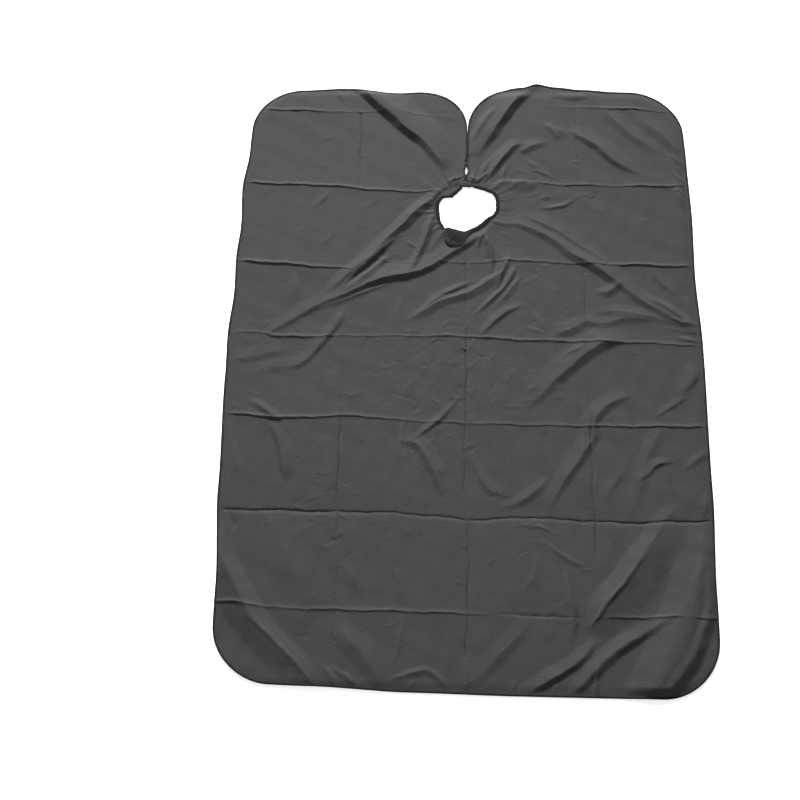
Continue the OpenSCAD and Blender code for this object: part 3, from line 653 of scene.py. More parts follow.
def tube_mesh(name, rings, materials, indices=None):
    """A tube through rings, each an array of one point of the section all along the tube."""
    grid = np.stack(rings, axis=1)
    return make_mesh(name, grid.reshape(-1, 3), tube_faces(*grid.shape[:2]), materials, indices=indices)


# ---- materials ---------------------------------------------------------------

def new_material(name):
    """A material, its node tree and its shader."""
    material = bpy.data.materials.new(name)
    material.use_nodes = True
    tree = material.node_tree
    tree.nodes.clear()
    out = tree.nodes.new("ShaderNodeOutputMaterial")
    shader = tree.nodes.new("ShaderNodeBsdfPrincipled")
    tree.links.new(shader.outputs[0], out.inputs[0])
    return material, tree, shader


def set_inputs(tree, node, inputs):
    """Links each input to a socket, or sets its number."""
    for key, value in inputs.items():
        if isinstance(value, bpy.types.NodeSocket):
            tree.links.new(value, node.inputs[key])
        else:
            node.inputs[key].default_value = value


def add_node(tree, kind, inputs, **settings):
    """Adds a node and returns its outputs."""
    node = tree.nodes.new(kind)
    for key, value in settings.items():
        setattr(node, key, value)
    set_inputs(tree, node, inputs)
    return node.outputs


def coordinates(tree, scale, turn=0.0):
    """Object coordinates times scale, turned in plan."""
    place = add_node(tree, "ShaderNodeTexCoord", {})["Object"]
    mapping = {"Vector": place, "Scale": (scale, scale, scale), "Rotation": (0, 0, turn)}
    return add_node(tree, "ShaderNodeMapping", mapping)[0]


def noise(tree, scale, detail, turn=0.0, **more):
    """Noise with about that many patches to the metre."""
    inputs = {"Vector": coordinates(tree, scale, turn), "Detail": detail, **more}
    return add_node(tree, "ShaderNodeTexNoise", inputs)["Fac"]


def maths(tree, operation, *values):
    """The result of one operation on sockets and numbers."""
    return add_node(tree, "ShaderNodeMath", dict(enumerate(values)), operation=operation)[0]


def spread(tree, value, low, high):
    """The value, from 0 to 1, moved to run from low to high."""
    return add_node(tree, "ShaderNodeMapRange", {"Value": value, "To Min": low, "To Max": high})[0]


def two_tones(tree, value, dark, light, start=0.0, end=1.0):
    """Colour that goes from dark to light as the value goes from start to end."""
    ramp = tree.nodes.new("ShaderNodeValToRGB")
    for i, place, colour in ((0, start, dark), (1, end, light)):
        ramp.color_ramp.elements[i].position = place
        ramp.color_ramp.elements[i].color = (*colour, 1)
    set_inputs(tree, ramp, {"Fac": value})
    return ramp.outputs[0]


def bumped(tree, height, strength, depth, **below):
    """A normal bumped by the height, over the Normal below it where one is given."""
    inputs = {"Height": height, "Strength": strength, "Distance": depth, **below}
    return add_node(tree, "ShaderNodeBump", inputs)[0]


def woven(tree, threads):
    """Height of a plain weave with that many threads to the metre."""
    split = add_node(tree, "ShaderNodeSeparateXYZ", {0: coordinates(tree, threads)})
    turns = [maths(tree, "MULTIPLY", split[axis], 2 * math.pi) for axis in ("X", "Y")]
    return maths(tree, "MULTIPLY", *(maths(tree, "SINE", turn) for turn in turns))


def cloth_material(name, dark, light, threads, roughness, bump, sheen, crumple):
    """Woven cloth: two tones that vary slowly, a weave, faint crumples and a sheen on some."""
    material, tree, shader = new_material(name)
    broad = noise(tree, 6, 6.0, Roughness=0.6)
    fine = noise(tree, 900, 2.0)
    weave = woven(tree, threads)
    mixed = maths(tree, "MULTIPLY", broad, 0.75)
    mixed = maths(tree, "MULTIPLY_ADD", fine, 0.25, mixed)
    mixed = maths(tree, "MULTIPLY_ADD", weave, 0.10, mixed)
    creases = noise(tree, 60, 5.0, 0.5, Roughness=0.62, Distortion=0.8)
    set_inputs(tree, shader, {
        "Base Color": two_tones(tree, mixed, dark, light, 0.30, 0.72),
        "Roughness": spread(tree, broad, roughness - 0.05, roughness + 0.06),
        "Normal": bumped(tree, weave, bump, 0.06 * MM, Normal=bumped(tree, creases, crumple, 1.2 * MM)),
        "Sheen Weight": sheen,
        "Sheen Roughness": 0.4,
        "Sheen Tint": (0.9, 0.92, 1.0, 1),
        "Specular IOR Level": 0.10,
    })
    return material


def thread_material(name, colour, roughness):
    """Twisted thread: fine slanting bands across it, bumped, with painted shade in the twist's grooves and painted
    highlight on its ridges.
    """
    material, tree, shader = new_material(name)
    twist = add_node(tree, "ShaderNodeTexWave", {
        "Vector": coordinates(tree, 1400, 0.7), "Scale": 1.0, "Distortion": 1.5, "Detail": 2.0})["Fac"]
    # painted shade and highlight: the colour follows the twist's bump, darker in its grooves and lighter on its
    # ridges
    dark, light = ([c * share for c in colour] for share in (0.55, 1.35))
    set_inputs(tree, shader, {
        "Base Color": two_tones(tree, twist, dark, light),
        "Normal": bumped(tree, twist, 0.5, 0.1 * MM),
        "Roughness": roughness,
        "Sheen Weight": 0.3,
    })
    return material


def metal_material(name):
    """Plated metal with fine turning marks and dull patches."""
    material, tree, shader = new_material(name)
    patches = noise(tree, 420, 5.0)
    set_inputs(tree, shader, {
        "Base Color": two_tones(tree, patches, (0.42, 0.41, 0.39), (0.66, 0.65, 0.62), 0.35, 0.7),
        "Roughness": spread(tree, patches, 0.42, 0.22),
        "Normal": bumped(tree, noise(tree, 5200, 1.0), 0.12, 0.05 * MM),
        "Metallic": 1.0,
    })
    return material


TAFFETA = cloth_material("taffeta", (0.0320, 0.0320, 0.0338), (0.0410, 0.0410, 0.0432), threads=2600,
                         roughness=0.72, bump=0.25, sheen=0.0, crumple=0.75)
BAND = cloth_material("band_taffeta", (0.011, 0.011, 0.012), (0.022, 0.022, 0.023), threads=2600,
                      roughness=0.70, bump=0.25, sheen=0.02, crumple=0.25)
# the binding tape's own near-black colour; the neckband's inner rim also takes it, as painted shade
BINDING_AND_RIM_SHADE = cloth_material("binding_tape", (0.006, 0.006, 0.0065), (0.011, 0.011, 0.0115), threads=1500,
                      roughness=0.8, bump=0.6, sheen=0.02, crumple=0.05)
ELASTIC = cloth_material("elastic", (0.030, 0.030, 0.031), (0.055, 0.055, 0.057), threads=900,
                         roughness=0.75, bump=0.9, sheen=0.2, crumple=0.0)
THREAD = thread_material("thread", (0.030, 0.030, 0.032), 0.6)
METAL = metal_material("plated_metal")

# ---- the cloth ----------------------------------------------------------------

ROW_GAP = 0.866            # from row to row of the grid, as a share of its spacing
CUT_STEP = 2 * MM          # spacing of the points along a cut
CUT_REACH = 0.9            # a cut's line is followed this far to both sides of its joint
CUT_CLEAR = 1.2 * MM       # least distance from the edge to a cut's points
CREST_CLEAR = 1.3 * MM     # and from edge and cuts to the points along crests
GRID_CLEAR = 1.5 * MM      # and from those to the grid's
CREASE_ROWS = (-2.6, -1.2, 0, 1.2, 2.6)     # rows of points along a crease, in mm from its line
FOLD_ROWS = (-1.3, 0, 1.3)                  # and along a fold's crest


def inside_outline(points, path):
    """True where a point is inside the closed path."""
    x, y = points[:, 0], points[:, 1]
    inside = np.zeros(len(points), bool)
    for (x0, y0), (x1, y1) in zip(path, np.roll(path, -1, axis=0)):
        if y0 == y1:
            continue
        crosses = (y0 > y) != (y1 > y)
        inside ^= crosses & (x < (x1 - x0) * (y - y0) / (y1 - y0) + x0)
    return inside


def fold_line(joint):
    """A joint's place, direction and side of its child, in plan. All flap folds turn their child upward."""
    place = np.array(JOINTS[joint]["pos_m"][:2])
    along = np.array(JOINTS[joint]["axis"][:2])
    return place, along, np.array([-along[1], along[0]])


def beyond(xy, joint):
    """How far each place lies beyond a joint's fold, on the side of the joint's child."""
    place, _, side = fold_line(joint)
    return (xy - place) @ side


def cloth_border():
    """The cloth's cut edge: round the cape, then back round the neckband."""
    points, normals = edge_path(GRID)
    outer = points - normals * CLOTH_INSET
    under_band = BAND_OUT_R - TUCK
    start = math.degrees(math.acos(TAB_HIGH.x / under_band))
    ring, _ = arc(NECK, under_band, start, start - (2 * start + 180), NECK_GRID)
    foot = outer[0][1] - TUCK
    corner_x = ring[0][0]
    right_foot, _ = line((outer[-1][0], foot), (corner_x, foot), (0, 0), NECK_GRID)
    left_foot, _ = line((-corner_x, foot), (outer[0][0], foot), (0, 0), NECK_GRID)
    return np.concatenate([outer, right_foot[1:], ring, left_foot[:-1]])


def hex_grid(low, high, spacing):
    """Points in staggered rows over a box, near enough the corners of equal triangles."""
    rows = np.arange(low[1], high[1], spacing * ROW_GAP)
    columns = np.arange(low[0], high[0], spacing)
    x, y = np.meshgrid(columns, rows)
    x = x + (np.arange(len(rows)) % 2 * spacing / 2)[:, None]
    return np.stack([x.ravel(), y.ravel()], axis=1)


def clear_of(points, path, gap):
    """Drops the points that are nearer than gap to the path's points."""
    tree = KDTree(len(path))
    for i, p in enumerate(path):
        tree.insert((*p, 0), i)
    tree.balance()
    return points[[tree.find((*p, 0))[2] >= gap for p in points]]


def fold_cuts(border):
    """Points along each fold, from edge to edge, where the cloth is cut into pieces."""
    cuts = []
    reach = np.arange(-CUT_REACH, CUT_REACH, CUT_STEP)
    for joint in ("left_flap_fold", "right_flap_fold", "front_fold"):
        place, along, _ = fold_line(joint)
        points = place + reach[:, None] * along
        points = points[inside_outline(points, border)]
        if joint == "left_flap_fold":
            points = points[points[:, 0] < 0]
        if joint == "right_flap_fold":
            points = points[(points[:, 0] > 0) & (points[:, 1] > NECK[1])]
        cuts.append(clear_of(points, border, CUT_CLEAR))
    return cuts


def crest_rows(border, cuts):
    """Points in rows along the creases and the folds' crests, so that the mesh keeps them sharp."""
    lines = [(points, CREASE_ROWS, ()) for points in CREASES]
    lines += [(points, FOLD_ROWS, (left, -right)) for points, left, right in FOLDS + ripples()]
    lines += [(points, (0,), ()) for points, _, _ in crumples()]
    rows = []
    for points, offsets, feet in lines:
        curve = spline(points, ROW_STEP)
        along = np.gradient(curve[:, :2], axis=0)
        along /= np.linalg.norm(along, axis=1)[:, None]
        across = np.stack([-along[:, 1], along[:, 0]], axis=1) * MM
        rows += [curve[:, :2] + across * offset for offset in offsets]
        share = side_share(curve[:, 2])[:, None]
        rows += [curve[:, :2] + across * (foot * share) for foot in feet if abs(foot) < FOOT_ROWS_TO]
    points = np.concatenate(rows)
    points = points - wobble(points)
    points = points[inside_outline(points, border)]
    points = points[neck_polar(points)[0] > BAND_OUT_R]
    return clear_of(clear_of(points, border, CREST_CLEAR), np.concatenate(cuts), CREST_CLEAR)


def build_cloth():
    """One triangulated sheet, cut along the folds into the pieces that bend."""
    border = cloth_border()
    cuts = fold_cuts(border)
    low, high = border.min(0), border.max(0)
    coarse = hex_grid(low, high, GRID)
    fine = hex_grid(NECK - BAND_OUT_R - NECK_ZONE, NECK + BAND_OUT_R + NECK_ZONE, NECK_GRID)
    coarse = coarse[neck_polar(coarse)[0] > BAND_OUT_R + NECK_ZONE + GRID / 2]
    fine = fine[neck_polar(fine)[0] <= BAND_OUT_R + NECK_ZONE]
    rows = crest_rows(border, cuts)
    inner = [rows]
    for points, spacing in ((coarse, GRID), (fine, NECK_GRID)):
        points = points[inside_outline(points, border)]
        points = clear_of(points, border, spacing * 0.6)
        points = clear_of(points, np.concatenate(cuts), spacing * 0.5)
        inner.append(clear_of(points, rows, GRID_CLEAR))
    all_points = np.concatenate([border, *cuts, *inner])
    edges = [(i, (i + 1) % len(border)) for i in range(len(border))]
    start = len(border)
    for cut in cuts:
        edges += [(start + i, start + i + 1) for i in range(len(cut) - 1)]
        start += len(cut)
    made = delaunay_2d_cdt([Vector(p) for p in all_points], edges, [], 0, 1e-7)
    xy = np.array([tuple(v) for v in made[0]])
    triangles = np.array(made[2])
    centres = xy[triangles].mean(1)
    keep = inside_outline(centres, border)
    return xy, triangles[keep], centres[keep]


def vertex_normals(points, triangles):
    """Each point's normal, the mean of its triangles' by area."""
    a, b, c = (points[triangles[:, i]] for i in range(3))
    n = np.cross(b - a, c - a)
    total = np.zeros_like(points)
    for i in range(3):
        np.add.at(total, triangles[:, i], n)
    return total / np.maximum(np.linalg.norm(total, axis=1), 1e-12)[:, None]


CLOTH_PARTS = {"upper": None, "lower": "front_fold", "left_flap": "left_flap_fold",
               "right_flap": "right_flap_fold"}


def carry(piece, joint):
    """With no joint, hangs a piece on the upper part; with a joint, bakes its transform into its points and leaves
    it unhung.
    """
    if joint is None:
        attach(piece, "upper")
        return
    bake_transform(piece)


def cut_size(xy, triangles):
    """The width, length and area of a part of the cut cloth."""
    a, b, c = (xy[triangles[:, i]] for i in range(3))
    u, v = b - a, c - a
    area = 0.5 * np.abs(u[:, 0] * v[:, 1] - u[:, 1] * v[:, 0]).sum()
    width, length = np.ptp(xy[np.unique(triangles)], axis=0)
    return (float(width), float(length)), float(area)


def cloth_pieces():
    """The cloth's four parts, and the cut size of each."""
    xy, triangles, centres = build_cloth()
    points = placed(xy)
    a, b, c = points[triangles[0]]
    if np.cross(b - a, c - a)[2] < 0:
        triangles = triangles[:, ::-1]
    normals = vertex_normals(points, triangles)
    in_left = (beyond(centres, "left_flap_fold") > 0) & (centres[:, 0] < 0)
    in_right = (beyond(centres, "right_flap_fold") > 0) & (centres[:, 0] > 0) & (centres[:, 1] > NECK[1])
    in_lower = beyond(centres, "front_fold") > 0
    masks = {"upper": ~(in_left | in_right | in_lower), "lower": in_lower,
             "left_flap": in_left, "right_flap": in_right}
    out, sizes = {}, {}
    for part, joint in CLOTH_PARTS.items():
        chosen = triangles[masks[part]]
        used, local = np.unique(chosen, return_inverse=True)
        faces = local.reshape(-1, 3)
        piece = make_mesh(f"cape_{part}_cloth", points[used], faces, [TAFFETA], normals[used])
        carry(piece, joint)
        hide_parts(f"{part}_cloth")
        out[part] = piece
        sizes[part] = cut_size(xy, chosen)
    return out, sizes


# ---- edge binding and its stitches ---------------------------------------------

TAPE_STEP, SEAM_STEP = 3, 0.6  # in mm, spacing of the points along the edge for the tape and for its seam
SEAM_EVERY = 6                 # so that there are 3.6 mm from stitch to stitch
TAPE_UNDER = 0.45 * MM         # the tape's underside lies this far below the cloth's surface
SEAM_STITCH = 2.7 * MM, 0.22 * MM  # length and radius of a stitch
# Across the tape, from its inner edge round the fold and back: inset in mm, share of its thickness
TAPE_SECTION = ((4.9, 0.15), (4.2, 0.02), (1.6, -0.02), (0.35, 0.1), (0.0, 0.5), (0.35, 0.92), (1.6, 1.02),
                (3.3, 1.0), (4.3, 0.98), (4.9, 0.8))
# Along a stitch: place, width and rise, as shares of its length, radius and radius
STITCH_PROFILE = ((-0.5, 0.30, -0.9), (-0.36, 0.85, 0.0), (0.0, 1.0, 0.35), (0.36, 0.85, 0.0),
                  (0.5, 0.30, -0.9))
STITCH_SIDES = 6
UP = np.array([0.0, 0.0, 1.0])


def edge_spans(points):
    """The edge path's parts, as index ranges with the joint that each part bends with."""
    count = len(points)
    top = points[:, 1] > HALF_L - 1e-6
    left = int(np.argmax((beyond(points, "left_flap_fold") <= 0) & top))
    right = count - 1 - int(np.argmax(((beyond(points, "right_flap_fold") <= 0) & top)[::-1]))
    lower = beyond(points, "front_fold") > 0
    low_start = int(np.argmax(lower))
    low_end = count - 1 - int(np.argmax(lower[::-1]))
    return {
        "left_flap": (0, left, "left_flap_fold"),
        "upper_left": (left, low_start, None),
        "lower": (low_start, low_end, "front_fold"),
        "upper_right": (low_end, right, None),
        "right_flap": (right, count - 1, "right_flap_fold"),
    }


def tape_mesh(name, points, normals):
    """The folded tape along a stretch of the edge, a little puckered by its seam."""
    along = np.arange(len(points)) * TAPE_STEP
    rings = []
    base = placed(points - normals * TAPE_W / 2)[:, 2]
    phase = rng(11).uniform(0, 6.28, 3)
    for inset, level in TAPE_SECTION:
        wave = 1 + 0.05 * np.sin(along / 4.1 + phase[0]) + 0.05 * np.sin(along / 9.7 + phase[1])
        flat = laid(points - normals * (inset * MM * wave)[:, None])
        z = base - TAPE_UNDER + level * TAPE_T * (1 + 0.12 * np.sin(along / 5.3 + phase[2]))
        rings.append(np.column_stack([flat, z]))
    return tube_mesh(name, rings, [BINDING_AND_RIM_SHADE])


def stitches(name, centres, directions, ups, length, radius):
    """Separate stitches, each a short rounded bar of thread that dips in at both ends."""
    sides = np.cross(ups, directions)
    rings = []
    for along, wide, rise in STITCH_PROFILE:
        middle = centres + directions * along * length + ups * rise * radius
        for k in range(STITCH_SIDES):
            a = 2 * math.pi * k / STITCH_SIDES
            rings.append(middle + (sides * math.cos(a) + ups * 0.7 * math.sin(a)) * wide * radius)
    grid = np.stack(rings, axis=1)
    one = np.array(tube_faces(len(STITCH_PROFILE), STITCH_SIDES, caps=False))
    size = len(STITCH_PROFILE) * STITCH_SIDES
    faces = (one[None] + np.arange(len(centres))[:, None, None] * size).reshape(-1, 4)
    return make_mesh(name, grid.reshape(-1, 3), faces, [THREAD])


def seam_mesh(name, points, normals):
    """The row of stitches on the tape along a stretch of the edge."""
    last = len(points) - 1
    picks = np.arange(SEAM_EVERY // 2, len(points) - SEAM_EVERY // 2, SEAM_EVERY)
    middle = placed(points - normals * SEAM_INSET)
    centres = middle[picks]
    tape_base = placed((points - normals * TAPE_W / 2)[picks])[:, 2] - TAPE_UNDER
    centres[:, 2] = tape_base + TAPE_T * 1.02
    direction = middle[np.minimum(picks + 2, last)] - middle[np.maximum(picks - 2, 0)]
    direction[:, 2] = 0
    direction /= np.linalg.norm(direction, axis=1)[:, None]
    return stitches(name, centres, direction, np.tile(UP, (len(picks), 1)), *SEAM_STITCH)


def edge_pieces():
    """The tape and the seam of each part of the edge."""
    points, normals = edge_path(TAPE_STEP * MM)
    fine_points, fine_normals = edge_path(SEAM_STEP * MM)
    fine_spans = edge_spans(fine_points)
    out = {}
    for part, (start, end, joint) in edge_spans(points).items():
        body = JOINTS[joint]["child"] if joint else "upper"
        tape = tape_mesh(f"cape_{part}_binding", points[start:end + 1], normals[start:end + 1])
        start, end, _ = fine_spans[part]
        seam = seam_mesh(f"cape_{part}_seam", fine_points[start:end + 1], fine_normals[start:end + 1])
        for piece, node, slot in ((tape, "binding", "binding_tape"), (seam, "seam", "sewing_thread")):
            carry(piece, joint)
            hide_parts(f"{body}_{node}")
        out[part] = (tape, seam)
    return out


# ---- neckband -------------------------------------------------------------------

TURNED_AT, TURNED_SPREAD = 256, 20     # in degrees, where the band's front lies turned out, and how far
TURNED_WIDER = 2.9                     # how much wider it is there, as a share of its width
LEFT_END = 97                          # in degrees, where the round part of the band starts
LAP_SAG = 1.6 * MM                     # how far the lapped end hangs down towards the opening
LAP_FLOOR = 0.6 * MM                   # height of the tab's underside beside the lap
ELASTIC_W, ELASTIC_HALF_T = 6 * MM, 0.42 * MM    # the elastic's width, and half its thickness
ELASTIC_RIBS = 12
BAND_STITCH = 2.6 * MM, 0.24 * MM      # length and radius of a stitch
# Across the band, from the opening outward over the top and back: share of its width, share of its height
BAND_SECTION = ((0.0, 0.5), (0.03, 0.78), (0.12, 0.97), (0.3, 1.06), (0.5, 1.08), (0.7, 1.0), (0.86, 0.8),
                (0.97, 0.5), (1.0, 0.3), (0.9, 0.12), (0.6, 0.05), (0.3, 0.05), (0.1, 0.15))


def ruffle(angle, seed, counts=(61, 83, 113)):
    """Small gathers round the band, mostly between -1 and 1."""
    r = rng(seed)
    total = np.zeros_like(angle)
    for n in counts:
        total += np.sin(n * angle + r.uniform(0, 6.28)) * r.uniform(0.6, 1.0)
    return total / 2


def turned_out(angle):
    """How much wider the band is where its front lies turned out, as a share of its width."""
    turn = (np.degrees(angle) - TURNED_AT + 180) % 360 - 180
    return TURNED_WIDER * np.exp(-np.abs(turn / TURNED_SPREAD)**3)


def band_points(angle):
    """Rings of the gathered neckband at those angles round the opening."""
    out_dir = np.stack([np.cos(angle), np.sin(angle)], axis=1)
    pleat = ruffle(angle, 21)
    wider = turned_out(angle)
    rings = []
    for across, level in BAND_SECTION:
        # the gathers are deepest at the opening, and crumple the top between its two edges
        r = (NECK_R + across * BAND_W * (1 + wider)
             + 0.6 * MM * pleat * (1 - across) + 0.4 * MM * ruffle(angle, 22))
        crumple = ruffle(angle + 0.25 * across, 23, (47, 71, 101)) * np.sin(math.pi * min(across + 0.1, 1))
        high = (BAND_TOP - 0.4 * MM) * (1 + 0.2 * wider) * (1 + (0.20 + 0.08 * wider) * crumple)
        flat = laid(NECK + out_dir * r[:, None])
        z = 0.25 * MM + level * high + wider * across * 1.3 * MM
        rings.append(np.column_stack([flat, z]))
    return rings


def band_mesh(name, start, end):
    """The gathered band between two angles in degrees. Its inner rim is painted near black with the binding's
    material, as painted shade where the band's inner wall turns from the light.
    """
    count = int(math.radians(end - start) * BAND_OUT_R / (0.9 * MM))
    angle = np.radians(np.linspace(start, end, count + 1))
    size = len(BAND_SECTION)
    # painted shade: the band's inner rim takes the near-black binding material where its inner wall lies in shade
    painted_shade_rim = {0, 1, 2, 3, 4, size - 2, size - 1}
    caps = [0, 0]
    indices = [1 if i % size in painted_shade_rim else 0 for i in range(count * size)] + caps
    return tube_mesh(name, band_points(angle), [BAND, BINDING_AND_RIM_SHADE], indices)


def strap_mesh(name, x0, x1, low, high, seed):
    """A flat strip across the slit, between heights low(x) and high(x), puckered like the band."""
    count = int(abs(x1 - x0) / (0.8 * MM))
    x = np.linspace(x0, x1, count + 1)
    a = x / BAND_OUT_R
    pleat = ruffle(a, seed)
    rings = []
    for across, level in BAND_SECTION:
        y = LAP_Y + across * BAND_W + 0.35 * MM * pleat * (0.5 - across) - LAP_SAG * smooth(x / TAB_HIGH.x)
        crumple = ruffle(a + 0.3 * across, seed + 7, (43, 67, 97)) * np.sin(math.pi * min(across, 1))
        z = low(x) + (high(x) - low(x)) * np.clip(level, 0, 1.0) * (1 + 0.05 * pleat)
        z = z + 0.35 * MM * crumple * (level > 0.4)
        rings.append(np.column_stack([x, y, z]))
    return tube_mesh(name, rings, [BAND])


def band_stitches(name, start, end):
    """The row of stitches along the band's outer side, between two angles in degrees."""
    count = int(math.radians(end - start) * (BAND_OUT_R - 1.4 * MM) / (3.4 * MM))
    angle = np.radians(np.linspace(start, end, count + 1))[:-1] + math.radians((end - start) / count / 2)
    out_dir = np.stack([np.cos(angle), np.sin(angle), np.zeros(count)], axis=1)
    a, b = band_points(angle)[5:7]
    centres = a * 0.55 + b * 0.45 + UP * 0.12 * MM
    ups = np.cross(np.cross(out_dir, UP), a - b)
    ups /= np.linalg.norm(ups, axis=1)[:, None]
    ups *= np.sign(ups[:, 2])[:, None]
    return stitches(name, centres, np.cross(UP, out_dir), ups, *BAND_STITCH)


def elastic_mesh(name, start, end):
    """Flat braided elastic inside the band, ribbed along its length."""
    count = int(math.radians(end - start) * BAND_OUT_R / (0.8 * MM))
    angle = np.radians(np.linspace(start, end, count + 1))
    out_dir = np.stack([np.cos(angle), np.sin(angle)], axis=1)
    rings = []
    for k in range(2 * ELASTIC_RIBS):
        up = k < ELASTIC_RIBS
        across = (k if up else 2 * ELASTIC_RIBS - 1 - k) / (ELASTIC_RIBS - 1)
        rib = 0.06 * MM * (k % 2) + 0.05 * MM * np.sin(angle * 400)
        r = NECK_R + BAND_W / 2 + (across - 0.5) * ELASTIC_W
        z = BAND_TOP / 2 + (1 if up else -1) * (ELASTIC_HALF_T + rib)
        rings.append(np.column_stack([laid(NECK + out_dir * r), z]))
    return tube_mesh(name, rings, [ELASTIC])


def lap_pieces():
    """The band's two lapped ends: the left one beneath, and over it the tab, which bends at its hinge."""
    over_z, top_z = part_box("snap_socket")[1].z, TAB_HIGH.z
    low_top, tab_top = BAND_TOP * 0.8, BAND_TOP * 0.92

    def rise(x):
        return smooth((TAB_HIGH.x + 3 * MM - x) / (14 * MM))

    under = strap_mesh("cape_neckband_left_end", -TAB_HIGH.x - 3 * MM, UNDER_X,
                       lambda x: 0.15 * MM + 0 * x,
                       lambda x: low_top + (UNDER_T - low_top) * smooth((x + 22 * MM) / (12 * MM)), 31)
    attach(under, "upper")
    tab = strap_mesh("cape_neckband_tab", TAB_LOW.x, TAB_HIGH.x + 1.5 * MM,
                     lambda x: LAP_FLOOR + (over_z - LAP_FLOOR) * rise(x),
                     lambda x: tab_top + (top_z - tab_top) * rise(x), 32)
    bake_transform(tab)
    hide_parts("neckband_tab")


def neck_pieces():
    """The band with its elastic and stitches, each in two pieces that meet at the right flap's fold."""
    right_end = math.degrees(math.acos(TAB_HIGH.x / (NECK_R + BAND_W / 2)))
    flap = "right_flap_fold"
    fold = math.degrees(math.atan2(*JOINTS[flap]["axis"][1::-1]))
    for build, node, slot, joint, start, end in (
            (band_mesh, "neckband", "taffeta", None, LEFT_END, 360 + fold),
            (band_mesh, "neckband_right_end", "taffeta", flap, fold, right_end),
            (elastic_mesh, "neck_elastic", "elastic", None, 180 - right_end + 2, 360 + fold),
            (elastic_mesh, "right_end_elastic", "elastic", flap, fold, right_end - 2),
            (band_stitches, "neckband_stitching", "sewing_thread", None, LEFT_END, 360 + fold),
            (band_stitches, "right_end_stitching", "sewing_thread", flap, fold, right_end)):
        piece = build(f"cape_{node}", start, end)
        carry(piece, joint)
        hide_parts(node)


# ---- press stud -------------------------------------------------------------------

SEW_HOLE_R = 4.05 * MM
STRAND = 1.7 * MM, 0.13 * MM           # length and radius of a strand
STRAND_GAP, STRAND_OUT = 0.22 * MM, 0.35 * MM    # from strand to strand, and from the holes' circle out


def sewn_threads(name, node, body, over):
    """Three strands through each sewing hole and over the rim. over is the side that they cross."""
    low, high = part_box(node)
    centre = (low + high) / 2
    centres, directions = [], []
    for i in range(4):
        a = math.radians(45 + 90 * i)
        out_dir = Vector((math.cos(a), math.sin(a), 0))
        side = Vector((-out_dir.y, out_dir.x, 0))
        for k in (-1, 0, 1):
            centres.append(centre + out_dir * (SEW_HOLE_R + STRAND_OUT) + side * k * STRAND_GAP)
            directions.append(out_dir)
    ups = np.tile([0.0, 0.0, float(over)], (len(centres), 1))
    piece = stitches(name, np.array(centres), np.array(directions), ups, *STRAND)
    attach(piece, body)
    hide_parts(node)


def snap_pieces():
    """Plates the stud, the socket and its spring, and sews both halves on."""
    for node in ("snap_stud", "snap_socket", "snap_spring"):
        mesh = frame["nodes"][node].data
        mesh.materials.clear()
        mesh.materials.append(METAL)
    sewn_threads("cape_stud_thread", "stud_thread", "upper", 1)
    sewn_threads("cape_socket_thread", "socket_thread", "tab", -1)


# ---- stage --------------------------------------------------------------------------

CAMERA_AT = (-0.065, -1.009, 2.145)
CAMERA_TURN = (23.04, -3.01, 4.37)     # pitch, roll and yaw in degrees
LENS, SENSOR = 50, 36                  # mm
MIDDLE = (0.0, 0.0, 0.0)
KEY_TURN, KEY_RISE, KEY_AWAY = 99, 22, 20.0      # degrees round from +X, degrees up, metres
KEY_SIZE, KEY_POWER = (5.4, 2.8), 13800          # metres and watts
OVERHEAD_AT, OVERHEAD_AIM = (-0.1, 0.2, 4.2), (-0.06, 0.0, 0.0)
OVERHEAD_POWER, OVERHEAD_CONE, OVERHEAD_RADIUS = 190, 30, 0.6    # watts, degrees, metres
WORLD_STRENGTH = 0.22
GLARE_FROM, GLARE_TO = 0.10, 0.16      # the white above the horizon fades between these, as sines
FLOOR_HALF = 40.0
FLOOR_TONES = (0.93, 0.93, 0.93), (0.96, 0.96, 0.96)
FLOOR_GLOW = 0.6                       # a lit table, so that the floor stays white beside the cape


def add_lamp(name, kind, at, aim, power, **settings):
    """A lamp at one place that faces another."""
    data = bpy.data.lights.new(name, kind)
    data.energy = power
    for key, value in settings.items():
        setattr(data, key, value)
    lamp = bpy.data.objects.new(name, data)
    lamp.location = at
    lamp.rotation_euler = (Vector(aim) - Vector(at)).to_track_quat("-Z", "Y").to_euler()
    bpy.context.collection.objects.link(lamp)


def key_lamp():
    """A low lamp behind the cape, far enough away to be even, which brings out the folds."""
    turn, rise = math.radians(KEY_TURN), math.radians(KEY_RISE)
    level = KEY_AWAY * math.cos(rise)
    at = (level * math.cos(turn), level * math.sin(turn), KEY_AWAY * math.sin(rise))
    width, height = KEY_SIZE
    add_lamp("key", "AREA", at, MIDDLE, KEY_POWER, shape="RECTANGLE", size=width, size_y=height)


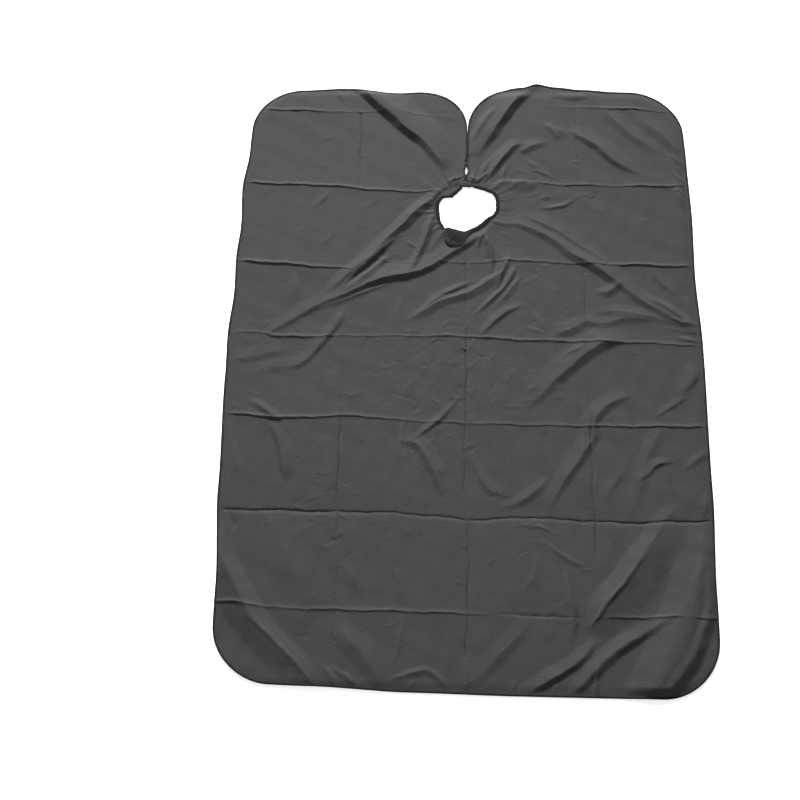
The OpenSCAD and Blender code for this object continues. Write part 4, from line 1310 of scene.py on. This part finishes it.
def floor_material():
    """A pale, faintly uneven surface that glows."""
    material, tree, shader = new_material("pale_floor")
    set_inputs(tree, shader, {
        "Base Color": two_tones(tree, noise(tree, 3, 3.0), *FLOOR_TONES),
        "Roughness": 0.8,
        "Specular IOR Level": 0.2,
        "Emission Color": (1, 1, 1, 1),
        "Emission Strength": FLOOR_GLOW,
    })
    return material


def studio_world():
    """Dim all round, and white just above the horizon, so that the floor's far edge doesn't show."""
    world = bpy.data.worlds.new("studio")
    world.use_nodes = True
    tree = world.node_tree
    direction = add_node(tree, "ShaderNodeTexCoord", {})["Generated"]
    height = add_node(tree, "ShaderNodeSeparateXYZ", {"Vector": direction})["Z"]
    strength = add_node(tree, "ShaderNodeMapRange", {
        "Value": height, "From Min": GLARE_FROM, "From Max": GLARE_TO,
        "To Min": 1.0, "To Max": WORLD_STRENGTH})
    set_inputs(tree, tree.nodes["Background"], {"Color": (1, 1, 1, 1), "Strength": strength[0]})
    return world


def build_stage():
    """The floor, the world and the two lamps."""
    size = FLOOR_HALF
    corners = np.array([(-size, -size, 0), (size, -size, 0), (size, size, 0), (-size, size, 0)], float)
    floor = make_mesh("floor", corners, [(0, 1, 2, 3)], [floor_material()])
    bpy.context.scene.world = studio_world()
    key_lamp()
    add_lamp("overhead", "SPOT", OVERHEAD_AT, OVERHEAD_AIM, OVERHEAD_POWER,
             spot_size=math.radians(OVERHEAD_CONE), spot_blend=1.0, shadow_soft_size=OVERHEAD_RADIUS)
    bpy.context.scene.view_settings.view_transform = "Standard"


def build_camera():
    """The camera at the photo's viewing angle."""
    data = bpy.data.cameras.new("camera")
    data.lens = LENS
    data.sensor_width = SENSOR
    camera = bpy.data.objects.new("camera", data)
    camera.location = CAMERA_AT
    pitch, roll, yaw = (math.radians(v) for v in CAMERA_TURN)
    turns = [Euler(turn).to_matrix() for turn in ((0, 0, yaw), (pitch, 0, 0), (0, 0, roll))]
    camera.rotation_euler = (turns[0] @ turns[1] @ turns[2]).to_euler()
    bpy.context.collection.objects.link(camera)
    bpy.context.scene.camera = camera


# ---- the whole ------------------------------------------------------------------------

build_camera()
build_stage()
cloth, cut_sizes = cloth_pieces()
edges = edge_pieces()
lap_pieces()
neck_pieces()
snap_pieces()
